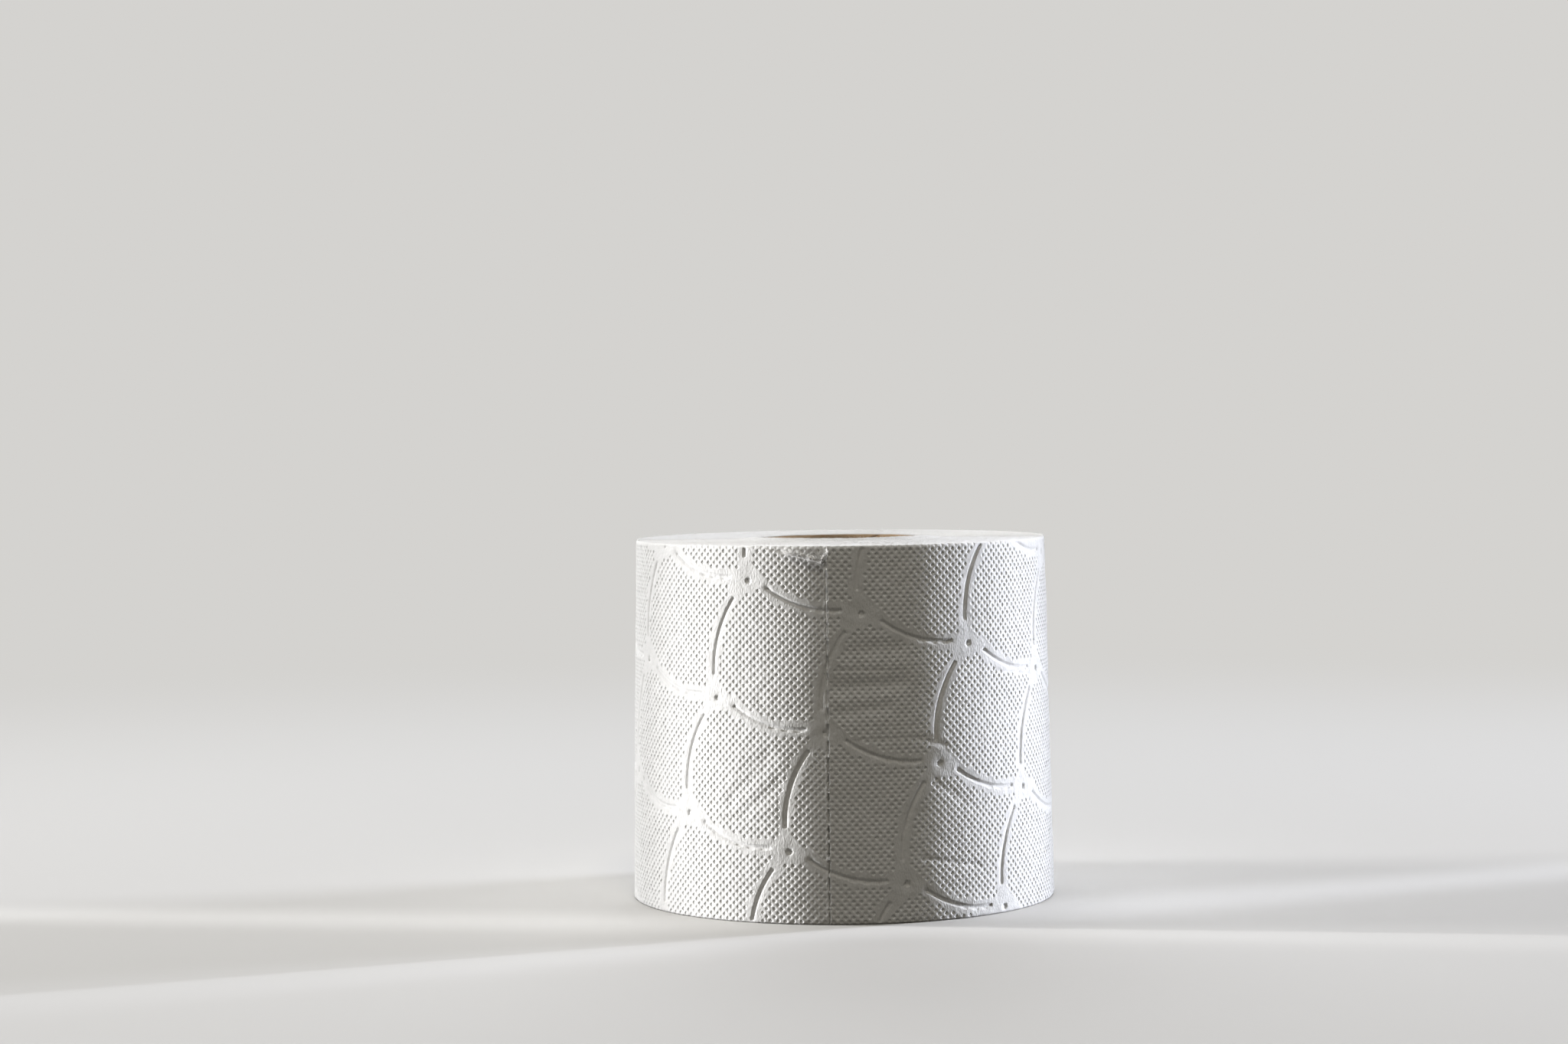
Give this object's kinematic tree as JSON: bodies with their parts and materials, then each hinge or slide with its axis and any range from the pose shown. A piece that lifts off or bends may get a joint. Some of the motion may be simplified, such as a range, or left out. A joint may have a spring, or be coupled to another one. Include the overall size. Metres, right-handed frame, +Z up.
{
  "type": "toilet paper roll",
  "caption": "Embossed perforated tissue wound on an open cardboard core, standing on its end, to slip over a holder's spindle.",
  "frame": {"origin": "centre of the foot, on the surface the roll stands on", "axes": "+Z up along the roll's axis and the core's bore, -Y towards the front with a line of perforations just left of it"},
  "size_m": [0.116, 0.1158, 0.098],
  "materials": {
    "tissue": "soft matt, embossed",
    "card": "matt, fibrous"
  },
  "bodies": {
    "root": {"paper_roll": "tissue", "core_tube": "card"}
  },
  "joints": []
}
